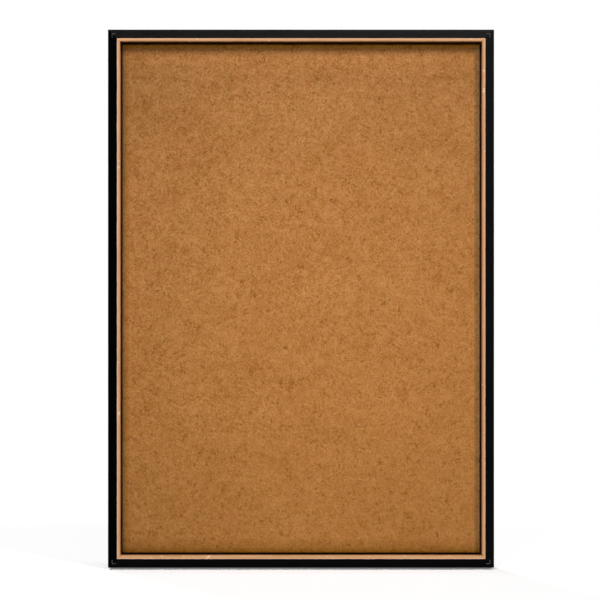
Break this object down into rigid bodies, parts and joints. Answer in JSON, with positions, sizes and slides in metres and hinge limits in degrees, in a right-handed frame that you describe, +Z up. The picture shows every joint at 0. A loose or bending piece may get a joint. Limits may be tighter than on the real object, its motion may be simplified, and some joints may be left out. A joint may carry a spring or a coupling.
{
  "type": "framed pin board",
  "caption": "Upright rectangular pin board: a cork-faced panel set back in a slim mitred frame, dark outside with a bare inner strip, hung by rings at the back.",
  "frame": {"origin": "middle of the wall plane, which the rear faces of the four pads touch", "axes": "+X to the right seen from the front, +Y back into the wall, +Z up along the long side"},
  "size_m": [0.452, 0.033, 0.63],
  "materials": {
    "painted_wood": "satin black paint on wood",
    "bare_wood": "sanded, unfinished",
    "cork": "fine-grained cork, matt",
    "core": "pressed softboard",
    "backer": "hardboard, textured back face",
    "nail_steel": "dull steel strip",
    "dark_screw": "black phosphate",
    "zinc_steel": "zinc plated",
    "pad_rubber": "matt rubber"
  },
  "bodies": {
    "board": {"top_rail": "painted_wood", "bottom_rail": "painted_wood", "left_stile": "painted_wood", "right_stile": "painted_wood", "top_fillet": "bare_wood", "bottom_fillet": "bare_wood", "left_fillet": "bare_wood", "right_fillet": "bare_wood", "cork_sheet": "cork", "core_board": "core", "backer_sheet": "backer", "front_corner_nails": "nail_steel", "rear_corner_nails": "nail_steel", "panel_screws": "dark_screw", "left_hanger_strap": "zinc_steel", "right_hanger_strap": "zinc_steel", "hanger_screws": "zinc_steel", "wall_pads": "pad_rubber"},
    "left_ring": {"left_hanger_ring": "zinc_steel"},
    "right_ring": {"right_hanger_ring": "zinc_steel"}
  },
  "joints": [
    {"name": "left_ring_swing", "type": "hinge", "parent": "board", "child": "left_ring", "pos_m": [-0.2149, -0.00268, 0.165], "axis": [1, 0, 0], "range_deg": [0, 184]},
    {"name": "right_ring_swing", "type": "hinge", "parent": "board", "child": "right_ring", "pos_m": [0.2149, -0.00268, 0.165], "axis": [1, 0, 0], "range_deg": [0, 184]}
  ]
}
